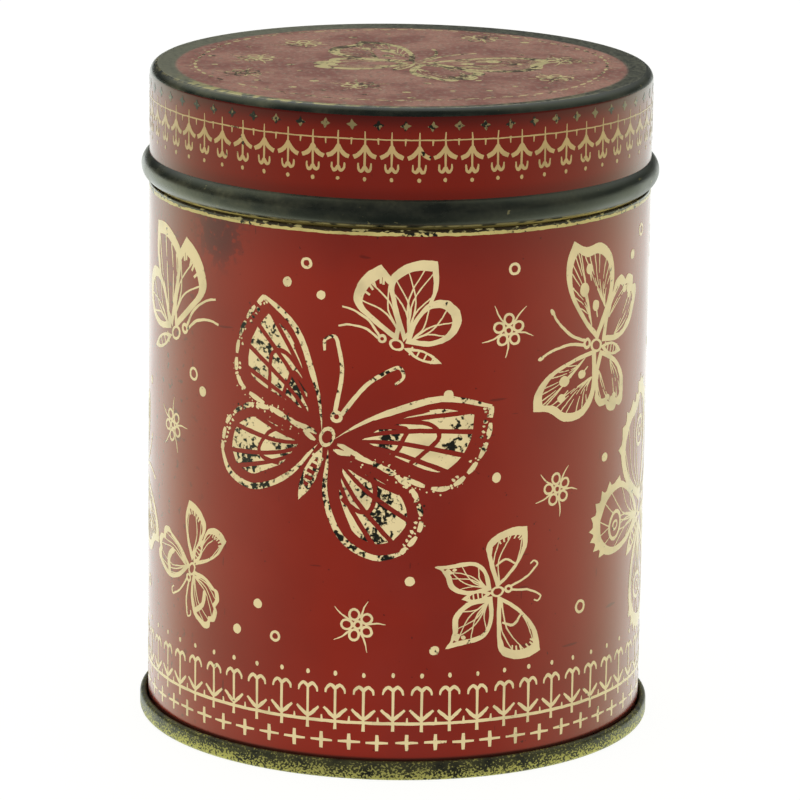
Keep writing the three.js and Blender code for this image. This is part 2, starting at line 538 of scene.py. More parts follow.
def feeler(drawing, start, end, bow, club=0.0, width=0.42):
    """An antenna that bows to its left, ending in a club if it has one."""
    line = bent([(0, 0), (0.35, bow), (0.75, bow * 0.8), (1, 0)], start, end)
    drawing.ink(ribbon(line, width * 1.1, width, width * 0.75))
    if club:
        turn = math.degrees(cmath.phase((end - start) * complex(0.25, -0.8 * bow)))
        drawing.ink(disc(end, club, 0.55, turn, 10))


def hooked_feeler(drawing, start, end, side, width):
    """An antenna whose end curls back to the side: 1 to its left, -1 to its right."""
    hook = [(0, 0), (0.5, -0.06), (0.85, 0), (1, 0.07), (0.94, 0.2), (0.8, 0.19)]
    drawing.ink(ribbon(bent(hook, start, end, side), width * 1.2, width, width * 0.7))


def flower(size, turn):
    """Five ring petals round a ring, with a thin ray between each two."""
    drawing = Drawing()
    for i in range(5):
        out = cmath.rect(1, math.radians(turn + 90 + 72 * i))
        ray = cmath.rect(size, math.radians(turn + 126 + 72 * i + random.uniform(-7, 7)))
        bent = ray * cmath.rect(0.75, 0.08)
        drawing.ink(stroke([ray * 0.3, bent, ray * random.uniform(1.05, 1.22)], 0.4, 0.32, 0.1))
        drawing.ring(out * size * 0.44, size * 0.27, size * 0.105, 0.9, turn + 90 + 72 * i)
    drawing.ring(0j, size * 0.2, size * 0.1)
    return drawing


def spots(drawing, opening, start, stop, count, radius):
    """Round spots along the inside of an opening's edge."""
    middle = sum(opening) / len(opening)
    for i in range(count):
        edge = opening[int((start + (stop - start) * i / (count - 1)) * len(opening))]
        drawing.ink(disc(edge + (middle - edge) * 0.2, radius, 0.9, 40 * i, 10))


def eye(drawing, centre, radius, turn):
    """An eye spot: a cream round with a dark ring and a cream middle."""
    drawing.ink(disc(centre, radius, 0.85, turn))
    drawing.cut(disc(centre, radius * 0.76, 0.82, turn))
    drawing.ring(centre, radius * 0.36, radius * 0.15)


# Each of these draws the right-hand wings of a butterfly whose head is up, about 16 mm across.


def spotted_wings():
    drawing = Drawing()
    opening = wing(drawing, BROAD_WING, 0.8 + 0.6j, 16.4 + 11.8j, 1, 0.8)
    hatch(drawing, 1.8 + 0.8j, opening, 15)
    for place, radius in ((8.8 + 6.8j, 1.25), (12.4 + 6.6j, 0.95), (6.6 + 3j, 1.0)):
        drawing.ink(disc(place, radius, 0.9, 30), stroke([place, place - 1.9 - 1.1j], 0.34, 0.3, 0.2))
    opening = wing(drawing, SCALLOPED_WING, 0.8 - 0.6j, 11 - 10.8j, -1, 0.76)
    hatch(drawing, 1.6 - 1.6j, opening, 8, 0.24)
    spots(drawing, opening, 0.4, 0.6, 3, 0.75)
    return drawing


def veined_wings():
    drawing = Drawing()
    opening = wing(drawing, LONG_WING, 0.8 + 0.6j, 15.6 + 9.4j, 1, 0.76)
    fan(drawing, 2 + 1.4j, opening, 7, 0.3, 0.16, 0.86)
    comb(drawing, opening, 0.36, 0.64, 6, 1.0, 0.45)
    drawing.ink(stroke([6.4 + 5.6j, 8.2 + 3.4j, 7 + 1j], 0.4, 0.6, 0.4))
    opening = wing(drawing, TAILED_WING, 0.8 - 0.6j, 10.4 - 12j, -1, 0.76)
    fan(drawing, 1.6 - 1.6j, opening, 6, 0.28, 0.16, 0.84)
    spots(drawing, opening, 0.42, 0.6, 3, 0.5)
    return drawing


def banded_wings():
    drawing = Drawing()
    opening = wing(drawing, SCALLOPED_WING, 0.8 + 0.6j, 14 + 9j, 1, 0.8)
    fan(drawing, 2 + 1.6j, opening, 7, 0.26, 0.16, 0.84)
    drawing.ink(stroke([7 + 8.2j, 9 + 5.2j, 7.8 + 2j], 1.1, 1.5, 1))
    opening = wing(drawing, LONG_WING, 0.8 - 0.8j, 8 - 12j, 1, 0.76)
    fan(drawing, 1.4 - 2.2j, opening, 5, 0.28, 0.2, 0.8)
    comb(drawing, opening, 0.36, 0.62, 5, 0.9, 0.45)
    return drawing


def eyed_wings():
    drawing = Drawing()
    for shape, root, tip, side, middle, size in (
        (BROAD_WING, 0.8 + 0.8j, 16 + 11.4j, 1, 10 + 6.6j, 2.3),
        (ROUND_WING, 0.8 - 0.8j, 12 - 10.6j, -1, 7.4 - 6.8j, 2.2),
    ):
        outline = closed(shaped(shape, root, tip, side))
        margin = part_of(outline, 0.3, 0.82)
        teeth(drawing, margin if side < 0 else margin[::-1], 9, 0.9)
        opening = wing(drawing, shape, root, tip, side, 0.8)
        fan(drawing, root * 1.8, opening, 9, 0.2, 0.14, 0.88)
        eye(drawing, middle, size, 40)
    return drawing


def celled_wing(drawing, shape, root, tip, side, shares, bands):
    """A wing with a broken outline and a plate of ink that its veins and bands cut into cells."""
    lead, *rest = shaped(shape, root, tip, side)
    drawing.ink(ribbon(lead, 0.25, 0.75, 0.35))
    for stretch in rest:
        drawing.dashes(smooth(stretch, 3), 9, 0.24, 0.6)
    outline = closed([lead, *rest])
    plate = shrink(outline, root + (tip - root) * complex(0.6, -0.06 * side), 0.7)
    drawing.ink(plate)
    ends = [plate[int(share * len(plate))] for share in shares]
    for end in ends:
        drawing.cut(ribbon(bent([(0, 0), (0.5, 0.06), (1.1, 0)], root, end, side), 0.3, 0.5, 0.55))
    for band in bands:
        places = [random.uniform(band - 0.04, band + 0.04) for _ in ends]
        drawing.cut(stroke([root + (end - root) * place for end, place in zip(ends, places)], 0.5))
    hem = smooth([p + (root - p) * 0.05 for p in closed(rest)][::3], 4)
    drawing.stipple(hem if side > 0 else hem[::-1], 70, 1.1, 0.24)


def celled_wings():
    drawing = Drawing()
    veins = (0.2, 0.36, 0.48, 0.6, 0.74)
    celled_wing(drawing, LONG_WING, 0.8 + 0.6j, 15.4 + 11.4j, 1, veins, (0.5, 0.72))
    veins = (0.24, 0.38, 0.52, 0.66, 0.8)
    celled_wing(drawing, ROUND_WING, 0.8 - 0.4j, 12.4 - 8.4j, -1, veins, (0.62,))
    return drawing


def butterfly(half, far, feel=8.0, club=0.0, body=2.3, bars=5):
    """A butterfly seen from above, head up, its left-hand wings narrowed by the way it tilts."""
    drawing = Drawing()
    drawing.stamp(half, 0j, flip=True, squeeze=far)
    drawing.stamp(half, 0j)
    insect_body(drawing, 3.3j, -7.4j, body, bars)
    for side in (-1, 1):
        start = complex(side * 0.4, 3.8)
        end = complex(side * 0.4 * feel, 3.8 + 0.92 * feel)
        if club:
            feeler(drawing, start, end, side * 0.1, club, 0.5)
        else:
            hooked_feeler(drawing, start, end, -side, 0.42)
    return drawing


def resting_butterfly(ribbed=False):
    """A butterfly seen from its side with its wings up. Its head is to the left."""
    drawing = Drawing()
    opening = wing(drawing, LONG_WING, 0.4j, -4.4 + 15j, -1, 0.72)
    fan(drawing, 2.6j, opening, 3, 0.32, 0.3, 0.7)
    comb(drawing, opening, 0.36, 0.6, 5, 1.0)
    opening = wing(drawing, LONG_WING, 1 + 0.6j, 6.2 + 16.4j, -1, 0.78)
    if ribbed:
        hatch(drawing, 1.8 + 2j, opening, 7, 0.36)
    else:
        fan(drawing, 1.8 + 2.4j, opening, 6, 0.3, 0.24, 0.82)
    opening = wing(drawing, ROUND_WING, 1.4 + 0.4j, 11.6 + 6.6j, -1, 0.72)
    fan(drawing, 2.6 + 1j, opening, 4, 0.3, 0.25, 0.75)
    insect_body(drawing, -3 + 0.9j, 8.6 - 3.2j, 2.1, 4)
    feeler(drawing, -3.6 + 1.4j, -11 + 6.2j, -0.12)
    feeler(drawing, -3.8 + 0.9j, -11.4 + 2.4j, -0.14)
    return drawing


def triangles_of(drawing, slice_width):
    """The inked areas as triangles: the last shape over a spot says whether it is inked. On a round
    wall the drawing is also cut into upright slices, which follow the curve."""
    points = []
    faces = []
    for outline, _ in drawing.shapes:
        turning = sum((a.conjugate() * b).imag for a, b in zip(outline, outline[1:] + outline[:1]))
        ordered = outline if turning > 0 else outline[::-1]
        faces.append(list(range(len(points), len(points) + len(ordered))))
        points += ordered
    edges = []
    if slice_width:
        low = min(p.imag for p in points) - 1
        high = max(p.imag for p in points) + 1
        first = math.floor(min(p.real for p in points) / slice_width)
        last = math.ceil(max(p.real for p in points) / slice_width)
        for i in range(first, last + 1):
            edges.append((len(points), len(points) + 1))
            points += [complex(i * slice_width, low), complex(i * slice_width, high)]
    flat = [Vector((p.real, p.imag)) for p in points]
    corners, _, triangles, _, _, over = geometry.delaunay_2d_cdt(flat, edges, faces, 0, 1e-4, True)
    inked = [t for t, shapes in zip(triangles, over) if shapes and drawing.shapes[max(shapes)][1]]
    return corners, inked


INK_HEIGHT = 0.035  # above the sheet
INK_DEPTH = 0.05  # into it
TOP_SINK = 0.03  # how much deeper the ink on the lid's top lies
SLICE = 2.0
UNEVENNESS = 0.09  # how far an edge strays


def round_wall(radius):
    """Lays a flat point round an upright wall, its middle at the front. Returns place and normal."""

    def wrap(point, lift):
        angle = point.x / radius
        out = Vector((math.sin(angle), -math.cos(angle), 0))
        return out * (radius + lift) + Vector((0, 0, point.y)), out

    return wrap


def flat_top(height):
    """Lays a flat point on a level face. Returns place and normal."""

    def wrap(point, lift):
        return Vector((point.x, point.y, height + lift)), Vector((0, 0, 1))

    return wrap


def print_on(name, drawing, wrap, slice_width):
    """A drawing as one thin solid of ink on a surface, its edges a little uneven."""
    corners, triangles = triangles_of(drawing, slice_width)
    used = sorted({i for t in triangles for i in t})
    number = {old: new for new, old in enumerate(used)}
    top = []
    bottom = []
    normals = []
    for i in used:
        place, _ = wrap(corners[i], 0)
        waver = noise.noise_vector(place * 0.9) + noise.noise_vector(place * 3.1) * 0.6
        point = corners[i] + Vector((waver.x, waver.y)) * UNEVENNESS
        place, normal = wrap(point, INK_HEIGHT)
        top.append(place)
        bottom.append(wrap(point, -INK_DEPTH)[0])
        normals.append(normal)
    count = len(used)
    faces = []
    edges = set()
    for t in triangles:
        a, b, c = (number[i] for i in t)
        faces += [(a, b, c), (c + count, b + count, a + count)]
        edges |= {(a, b), (b, c), (c, a)}
    for a, b in edges:
        if (b, a) not in edges:
            faces.append((a, a + count, b + count, b))
    piece = make_object(name, top + bottom, faces)
    piece.data.normals_split_custom_set_from_vertices(normals + normals)
    return piece


BODY_FLOWER = 4.9
TOP_FLOWER = 5.6


def body_artwork():
    """The small motifs all round the body, the front ones first."""
    resting = resting_butterfly()
    ribbed = resting_butterfly(True)
    spotted = butterfly(spotted_wings(), 0.8, 10, 0.7)
    veined = butterfly(veined_wings(), 0.8)
    banded = butterfly(banded_wings(), 0.75)
    eyed = butterfly(eyed_wings(), 0.85, 9, 0.6)
    drawing = Drawing()
    for motif, place, turn, size, flip in (
        (ribbed, -53 + 83j, 4, 1.3, True),
        (resting, 87j, -4, 1.02, False),
        (spotted, 45 + 83j, 74, 1.15, False),
        (veined, 20 + 37j, -82, 0.92, False),
        (banded, -46 + 37j, 152, 0.92, False),
        (eyed, 67 + 45j, -48, 1.55, False),
        (spotted, -79 + 50j, -70, 1.05, False),
        (resting, -98 + 84j, 6, 1.1, True),
        (veined, -110 + 40j, 24, 1, False),
        (eyed, -130 + 78j, 64, 1.1, False),
        (ribbed, -142 + 30j, -4, 1.05, False),
        (ribbed, 96 + 80j, -6, 1.2, False),
        (spotted, 124 + 62j, -64, 0.95, False),
        (veined, 136 + 93j, 30, 0.85, False),
        (resting, 136 + 32j, -8, 1, False),
    ):
        drawing.stamp(motif, place, turn, size, flip)
    flowers = [
        22 + 89j, 34 + 56j, -7 + 31j, -54 + 64j, -84 + 76j, -90 + 27j, -120 + 58j, -148 + 58j,
        82 + 67j, 80 + 98j, 118 + 86j, 99 + 29j, 119 + 40j, 146 + 70j, -84 + 100j, -150 + 97j,
    ]
    for i, place in enumerate(flowers):
        drawing.stamp(flower(BODY_FLOWER, 9 * i), place)
    rings = [
        -18 + 102j, 23 + 101j, -24 + 27j, -46 + 76j, 41 + 31j, 63 + 103j, -70 + 28j, -92 + 64j,
        -112 + 66j, -126 + 102j, -128 + 28j, 88 + 54j, 106 + 102j, 108 + 50j, 144 + 54j, -110 + 100j,
    ]
    for place in rings:
        drawing.ring(place, random.uniform(1.15, 1.45), 0.55)
    dots = [
        -22 + 98j, -15 + 96j, -43 + 73j, 10 + 77j, 20 + 60j, 48 + 60j, 58 + 99j, 3 + 40j, 8 + 26j,
        -28 + 33j, -33 + 27j, -68 + 70j, -80 + 28j, -96 + 58j, -104 + 61j, -114 + 93j, -118 + 27j,
        -134 + 58j, -140 + 50j, -152 + 76j, 74 + 78j, 90 + 99j, 99 + 59j, 109 + 68j, 118 + 101j,
        128 + 78j, 140 + 80j, 150 + 27j, 151 + 97j, 84 + 26j, 113 + 27j, 125 + 46j,
    ]
    for place in dots:
        radius, squash, turn = random.uniform(0.85, 1.05), random.uniform(0.85, 1), random.uniform(0, 90)
        drawing.ink(disc(place, radius, squash, turn))
    return drawing


def large_butterfly():
    """The large one in the middle of the front."""
    drawing = Drawing()
    drawing.stamp(butterfly(celled_wings(), 0.86, 8.5, 0, 1.7, 6), -14 + 67j, turn=-24, size=1.75)
    return drawing


GIRTH = math.tau * WALL_RADIUS
BARE_STRIP = 1.5  # unprinted tin on each side of the side seam's line
PRINT_LEFT = -GIRTH / 2 - GROOVE_X + BARE_STRIP
PRINT_RIGHT = GIRTH / 2 - GROOVE_X - BARE_STRIP
FOOT_POSTS = 56
FOOT_LINE = 11.2
SKIRT_POSTS = 61
SKIRT_LINE = 126.7
STAR_HEIGHT = 129.4
EDGE_LINE = (108.1, 108.72)  # lower and upper edge of the line under the lid
STRAY = 0.09


def nudge():
    """A small random offset, as of a hand-cut printing block."""
    return complex(random.uniform(-STRAY, STRAY), random.uniform(-STRAY, STRAY))


def round_print(steps):
    """Even places from one side of the bare strip round to the other."""
    return [PRINT_LEFT + (PRINT_RIGHT - PRINT_LEFT) * i / steps for i in range(steps + 1)]


def both_ways(drawing, post, *curves):
    """Strokes that leave a post to its left and its right. Each is a list of points and its widths."""
    for side in (-1, 1):
        for points, widths in curves:
            drawing.ink(stroke([post + complex(side * p.real, p.imag) for p in points], *widths))


def foot_border():
    """The border above the foot: curled posts on a line, with dots over them and crosses below."""
    drawing = Drawing()
    pitch = GIRTH / FOOT_POSTS
    horn = [17.8j, 0.9 + 18.5j, 1.75 + 17.8j, 1.95 + 16.9j], (0.7, 0.62, 0.3)
    branch = [11.9j, 0.75 + 12.45j, 1.5 + 13.15j, 2.3 + 13.9j], (0.6, 0.72, 0.4)
    for i in range(1 - FOOT_POSTS // 2, FOOT_POSTS // 2):
        post = pitch * i + nudge()
        drawing.ink(disc(post + 20.9j, 0.36, 1.4))
        drawing.ink(ribbon([post + 18j, post + 13j, post + 9.5j], 0.55, 0.5, 0.65))
        both_ways(drawing, post, horn, branch)
    for i in range(-FOOT_POSTS // 2, FOOT_POSTS // 2 - 1):
        between = pitch * (i + 0.5) + nudge()
        drawing.ink(ribbon([between + FOOT_LINE * 1j, between + 12.4j], 0.6, 0.45, 0.25))
        cross = between + 7.25j + nudge()
        drawing.ink(ribbon([cross - 1.65j, cross, cross + 1.65j], 0.6, 0.8, 0.6))
        drawing.ink(ribbon([cross - 2.2, cross, cross + 2.2], 0.4, 0.62, 0.4))
    drawing.ink(ribbon([complex(x, FOOT_LINE) for x in round_print(200)], 0.62))
    return drawing


def skirt_border():
    """The border round the lid: a hung line with arrows, hooks and dots."""
    drawing = Drawing()
    pitch = GIRTH / SKIRT_POSTS
    line = [complex(pitch * (i / 4 - SKIRT_POSTS / 2), SKIRT_LINE) for i in range(4 * SKIRT_POSTS + 1)]
    drawing.ink(ribbon(line, 0.26))
    arm = [125.4j, 0.6 + 124.3j, 1.3 + 123.6j, 2.2 + 123.2j], (0.6, 0.85, 0.8)
    hook = [121.3j, 0.6 + 120.5j, 1.15 + 120.9j, 1.25 + 122j], (0.7, 0.56, 0.26)
    for i in range(SKIRT_POSTS):
        post = pitch * (i - SKIRT_POSTS // 2 - 0.31) + nudge()
        drawing.ink(ribbon([post + 128.2j, post + 125j, post + 121j], 0.2, 0.46, 0.4))
        both_ways(drawing, post, arm, hook)
        drawing.ink(disc(post + 118.95j, 0.36, 1.15))
        between = post + pitch / 2
        drawing.ink(ribbon([between + 126.9j, between + 125.6j], 0.42, 0.32, 0.2))
    return drawing


def skirt_stars():
    """The row of small worn stars above the lid's border."""
    drawing = Drawing()
    pitch = GIRTH / SKIRT_POSTS
    for i in range(SKIRT_POSTS):
        middle = complex(pitch * (i - SKIRT_POSTS // 2 + 0.19), STAR_HEIGHT) + nudge()
        for turn in (0, 90):
            arm = cmath.rect(1.05, math.radians(turn + random.uniform(-6, 6)))
            drawing.ink(leaf(middle - arm, middle + arm, 0.4))
    return drawing


def worn_line():
    """The cream line under the body's upper edge, ragged above where the lid has rubbed it."""
    drawing = Drawing()
    lower, upper = EDGE_LINE
    low = []
    high = []
    for x in round_print(620):
        coarse = noise.noise(Vector((x * 0.15, 7.7, 0))) * 0.22
        fine = noise.noise(Vector((x * 1.1, 3.1, 0))) * 0.26
        low.append(complex(x, lower + noise.noise(Vector((x * 0.3, 1.2, 0))) * 0.08))
        high.append(complex(x, max(upper + fine + coarse, lower + 0.1)))
    drawing.ink(low + high[::-1])
    return drawing


def lid_artwork():
    """The worn pattern on the lid's top: a dashed ring, flowers, and one large butterfly."""
    drawing = Drawing()
    count = 72
    for i in range(count):
        angle = math.tau * i / count
        worn = 0.5 + 0.5 * noise.noise(Vector((math.cos(angle) * 2, math.sin(angle) * 2, 4)))
        if worn < 0.3:
            continue
        reach_out = 40.8 + 0.5 * math.sin(6 * angle)
        dash = [cmath.rect(reach_out, angle + math.radians(a)) for a in (-1.7, 0, 1.6)]
        drawing.ink(ribbon(dash, 0.3, 0.8, 0.35))
        drawing.ink(blob(cmath.rect(reach_out + 1.1, angle + math.radians(2.5)), 0.3))
    drawing.stamp(butterfly(spotted_wings(), 0.95, 8, 0.6, 1.8), 3 + 1j, turn=-28, size=1.4)
    flowers = [-20 + 22j, -29 + 4j, -31 - 13j, -8 - 25j, 32 + 6j, 30 - 14j, 16 + 31j]
    for i, place in enumerate(flowers):
        drawing.stamp(flower(TOP_FLOWER, 13 * i), place)
    dots = [
        -28 - 21j, -17 - 21j, -15 - 31j, -7 - 35j, -22 - 3j, -37 - 4j, 1 - 32j, 25 + 27j, -3 + 35j,
        22 - 24j, 10 - 30j, 37 - 4j, -31 + 17j, -20 - 10j, -10 + 30j, -21 - 28j, 5 - 22j, 15 - 18j,
        17 - 29j, 2 - 38j, 28 - 25j, 38 + 4j, -38 + 6j, 24 + 12j,
    ]
    for place in dots:
        drawing.ink(disc(place, random.uniform(0.6, 0.95), 0.8))
    return drawing


# ---------------------------------------------------------------- materials


class Nodes:
    """A node tree, with short ways to add to it."""

    def __init__(self, owner):
        owner.use_nodes = True
        self.tree = owner.node_tree

    def add(self, kind, inputs=None, **settings):
        node = self.tree.nodes.new(kind)
        for key, value in settings.items():
            setattr(node, key, value)
        for key, value in (inputs or {}).items():
            if isinstance(value, bpy.types.NodeSocket):
                self.tree.links.new(value, node.inputs[key])
            else:
                node.inputs[key].default_value = value
        return node

    def parts(self, vector):
        return self.add("ShaderNodeSeparateXYZ", {0: vector}).outputs

    def maths(self, operation, a, b=0.0, clamp=False):
        inputs = {0: a, 1: b}
        return self.add("ShaderNodeMath", inputs, operation=operation, use_clamp=clamp).outputs[0]

    def mix(self, share, a, b):
        """Colour a, with b laid over it by its share."""
        inputs = {0: share, 6: a, 7: b}
        return self.add("ShaderNodeMix", inputs, data_type="RGBA").outputs[2]

    def grade(self, share, a, b):
        """A number that goes from a to b with share."""
        return self.add("ShaderNodeMix", {0: share, 2: a, 3: b}).outputs[0]


class Paint(Nodes):
    """A Principled material, and ways to vary it over the surface."""

    def __init__(self, name, **constants):
        self.material = bpy.data.materials.new(name)
        super().__init__(self.material)
        self.shader = self.tree.nodes["Principled BSDF"]
        for socket, value in constants.items():
            self.shader.inputs[socket.replace("_", " ")].default_value = value
        place = self.add("ShaderNodeTexCoord").outputs["Object"]
        self.place = self.vector("SCALE", place, Scale=1 / MM)
        self.x, self.y, self.height = self.parts(self.place)
        self.radius = self.vector("LENGTH", self.vector("MULTIPLY", self.place, (1, 1, 0)))

    def vector(self, operation, a, b=(0, 0, 0), **more):
        node = self.add("ShaderNodeVectorMath", {0: a, 1: b, **more}, operation=operation)
        return node.outputs["Value" if operation in ("LENGTH", "DISTANCE") else "Vector"]

    def noise(self, scale, detail=3.0, stretch=(1, 1, 1), seed=0.0):
        """Cloudy values about 0.5. The scale is in cycles per millimetre."""
        place = self.vector("MULTIPLY_ADD", self.place, stretch, Vector_002=(seed, seed, seed))
        inputs = {"Vector": place, "Scale": scale, "Detail": detail}
        return self.add("ShaderNodeTexNoise", inputs).outputs[0]

    def patches(self, low, high, scale, detail, **where):
        """Patches where noise rises past two levels."""
        return self.rise(self.noise(scale, detail, **where), low, high)

    def rise(self, value, low, high):
        """0 below low, 1 above high, and smooth between."""
        inputs = {"Value": value, "From Min": low, "From Max": high}
        node = self.add("ShaderNodeMapRange", inputs, interpolation_type="SMOOTHSTEP")
        return node.outputs[0]

    def fall(self, value, low, high):
        """1 below low, 0 above high."""
        return self.maths("SUBTRACT", 1.0, self.rise(value, low, high))

    def both(self, a, b):
        return self.maths("MULTIPLY", a, b, clamp=True)

    def either(self, a, b):
        return self.maths("MAXIMUM", a, b)

    def over(self, below, top, share, most=None):
        """Colour top laid over another by its share, times the most of it that shows."""
        return self.mix(share if most is None else self.both(share, most), below, top)

    def sets(self, socket, value):
        """Links a value to one of the shader's sockets."""
        self.tree.links.new(value, self.shader.inputs[socket])

    def bump(self, height, distance, strength):
        inputs = {"Height": height, "Distance": distance * MM, "Strength": strength}
        self.sets("Normal", self.add("ShaderNodeBump", inputs).outputs[0])


# Linear colours
RED = (0.3, 0.0185, 0.0072, 1)
RED_DARK = (0.25, 0.0145, 0.006, 1)
RED_SKIRT = (0.185, 0.0115, 0.005, 1)
DEEP_RED = (0.03, 0.004, 0.004, 1)
STAIN_AND_SHADE = (0.055, 0.006, 0.006, 1)
BLOT = (0.085, 0.008, 0.012, 1)
BARE_BROWN = (0.25, 0.17, 0.07, 1)
CREAM = (0.92, 0.75, 0.39, 1)
SKIRT_CREAM = (0.57, 0.4, 0.16, 1)
STAR_GOLD = (0.23, 0.18, 0.07, 1)
LINE_CREAM = (0.66, 0.54, 0.19, 1)
TOP_CREAM = (0.64, 0.55, 0.26, 1)
TOP_DARK = (0.1, 0.065, 0.038, 1)
BLACK_IRON_AND_SHADE = (0.012, 0.012, 0.008, 1)
DARK_BROWN = (0.03, 0.0195, 0.008, 1)
ENAMEL = (0.0075, 0.0105, 0.0085, 1)
BEAD_DUST = (0.105, 0.102, 0.055, 1)
BAND_DUST = (0.19, 0.19, 0.13, 1)
GOLD = (0.42, 0.36, 0.14, 1)
EDGE_GOLD = (0.55, 0.5, 0.2, 1)
BARE_TIN = (0.36, 0.27, 0.13, 1)
RIM_GOLD = (0.3, 0.28, 0.075, 1)
RIM_BRIGHT = (0.55, 0.52, 0.14, 1)
OLIVE = (0.045, 0.043, 0.015, 1)
LACQUER = (0.5, 0.37, 0.14, 1)
LACQUER_DULL = (0.34, 0.23, 0.08, 1)
LACQUER_DARK = (0.2, 0.13, 0.05, 1)
ROSE = (0.38, 0.165, 0.115, 1)
ROSE_DEEP = (0.24, 0.066, 0.046, 1)
ROSE_SCUFF = (0.42, 0.31, 0.22, 1)
ROSE_SPOT = (0.11, 0.075, 0.045, 1)
ROSE_GRIT = (0.2, 0.085, 0.058, 1)


def lithograph(name, seed, shine=0.5):
    """Glossy red ink on tinplate, with specks at the left and a few faint scratches."""
    paint = Paint(name, IOR=1.5, Specular_IOR_Level=shine)
    clouds = paint.noise(0.03, 4, seed=seed)
    red = paint.mix(paint.rise(clouds, 0.35, 0.7), RED, RED_DARK)
    specks = paint.both(paint.patches(0.745, 0.765, 0.9, 2, seed=seed + 7), 0.7)
    worn_side = paint.fall(paint.x, -49, -34)
    side_specks = paint.patches(0.62, 0.68, 0.6, 4, seed=seed + 3)
    specks = paint.either(specks, paint.both(worn_side, side_specks))
    scratch = paint.patches(0.775, 0.79, 0.8, 1, stretch=(1, 1, 0.14), seed=seed + 2)
    scuff = paint.patches(0.775, 0.79, 0.6, 1, stretch=(0.16, 0.16, 1), seed=seed + 9)
    marks = paint.both(paint.either(scratch, scuff), 0.45)
    red = paint.over(red, STAIN_AND_SHADE, paint.either(specks, marks))
    smudge = paint.noise(0.06, 4, seed=seed + 4)
    paint.sets("Roughness", paint.grade(paint.rise(smudge, 0.3, 0.75), 0.17, 0.25))
    paint.bump(paint.noise(1.2, 3, seed=seed + 6), 0.004, 0.4)
    return paint, red


def ink_paint(name, wear, colour=CREAM, chip=BLACK_IRON_AND_SHADE, fringe=BARE_BROWN):
    """Ink that is chipped through to another colour; wear is how much of it has gone."""
    paint = Paint(name, IOR=1.5, Roughness=0.28, Specular_IOR_Level=0.4)
    clouds = paint.noise(0.15, 4, seed=21)
    dull = tuple(0.8 * part for part in colour[:3]) + (1,)
    ink = paint.mix(paint.rise(clouds, 0.45, 0.75), colour, dull)
    area = paint.noise(0.14, 3, seed=23)
    detail = paint.noise(1.1, 5, seed=24)
    level = paint.maths("ADD", detail, paint.maths("MULTIPLY", paint.maths("SUBTRACT", area, 0.5), 0.9))
    limit = 0.9 - 0.4 * wear
    chips = paint.rise(level, limit, limit + 0.03)
    edging = paint.rise(level, limit - 0.06, limit)
    ink = paint.over(ink, fringe, edging, 0.45)
    paint.sets("Base Color", paint.over(ink, chip, chips))
    paint.bump(detail, 0.006, 0.3)
    return paint.material


def wall_paint():
    """The body's red, with a dark blot at the upper left, painted shade under the lid and just above the
    foot rim, and the bare strip by the side seam.
    """
    paint, red = lithograph("red_lithograph", 1)
    away = paint.vector("DISTANCE", paint.place, (-34.5, -35.5, WALL_TOP - 4))
    patchy = paint.noise(0.6, 6, seed=1)
    near = paint.fall(away, 2, 10)
    blot = paint.both(near, paint.rise(paint.maths("ADD", patchy, paint.both(near, 0.25)), 0.54, 0.66))
    red = paint.over(red, BLOT, blot, 0.8)
    # Painted shade: the red darkens over the top 12 mm of the wall, under the lid's bead.
    shade_under_lid = paint.rise(paint.height, WALL_TOP - 12, WALL_TOP)
    red = paint.over(red, STAIN_AND_SHADE, shade_under_lid, 0.25)
    # Along the top edge, above a ragged line, the wall turns dark brown flecked with gold.
    ragged = paint.both(paint.noise(0.8, 3, stretch=(1, 1, 0.3)), 0.9)
    worn = paint.rise(paint.maths("ADD", paint.height, ragged), WALL_TOP - 0.5, WALL_TOP - 0.1)
    flecks = paint.patches(0.55, 0.62, 0.6, 5, stretch=(1, 1, 2), seed=15)
    red = paint.over(red, paint.mix(flecks, DARK_BROWN, GOLD), worn)
    # Painted shade: a thin band just above the foot rim, in the crease where the rim meets the wall, is
    # darkened nearly to black.
    shade_above_rim = paint.fall(paint.height, RIM_HEIGHT + 0.05, RIM_HEIGHT + 0.7)
    red = paint.over(red, BLACK_IRON_AND_SHADE, shade_above_rim, 0.85)
    from_seam = paint.maths("ABSOLUTE", paint.maths("SUBTRACT", paint.x, GROOVE_X))
    near_seam = paint.fall(from_seam, BARE_STRIP - 0.5, BARE_STRIP - 0.3)
    bare = paint.both(paint.rise(paint.y, 40, 42), near_seam)
    paint.sets("Base Color", paint.over(red, BARE_TIN, bare))
    paint.sets("Metallic", paint.both(bare, 0.85))
    return paint.material


def lacquer_paint():
    """Gold lacquer over tin, a little blotchy."""
    paint = Paint("gold_lacquer", IOR=1.5, Metallic=0.9, Roughness=0.38)
    blotches = paint.noise(0.08, 5)
    fine = paint.noise(1.5, 3, stretch=(1, 1, 0.1))
    gold = paint.mix(paint.rise(blotches, 0.35, 0.7), LACQUER, LACQUER_DULL)
    paint.sets("Base Color", paint.over(gold, LACQUER_DARK, paint.rise(fine, 0.62, 0.8)))
    paint.bump(fine, 0.03, 0.4)
    return paint.material


def rim_paint():
    """Dark enamel rubbed through to gold-toned tinplate, most of all near the foot."""
    paint = Paint("worn_rim", IOR=1.5, Specular_IOR_Level=0.3)
    grain = paint.noise(2.2, 4, stretch=(1, 1, 1.2))
    patches = paint.noise(0.22, 3, seed=2)
    low = paint.fall(paint.height, 0.3, RIM_HEIGHT)
    amount = paint.maths("ADD", paint.both(low, 0.14), paint.both(patches, 0.26))
    level = paint.maths("ADD", grain, amount)
    rubbed = paint.rise(level, 0.7, 0.78)
    dark = paint.mix(paint.rise(patches, 0.3, 0.55), BLACK_IRON_AND_SHADE, OLIVE)
    paint.sets("Base Color", paint.over(dark, paint.mix(low, RIM_GOLD, RIM_BRIGHT), rubbed))
    paint.sets("Metallic", paint.both(rubbed, 0.35))
    paint.sets("Roughness", paint.grade(rubbed, 0.4, 0.5))
    paint.bump(grain, 0.12, 0.6)
    return paint.material


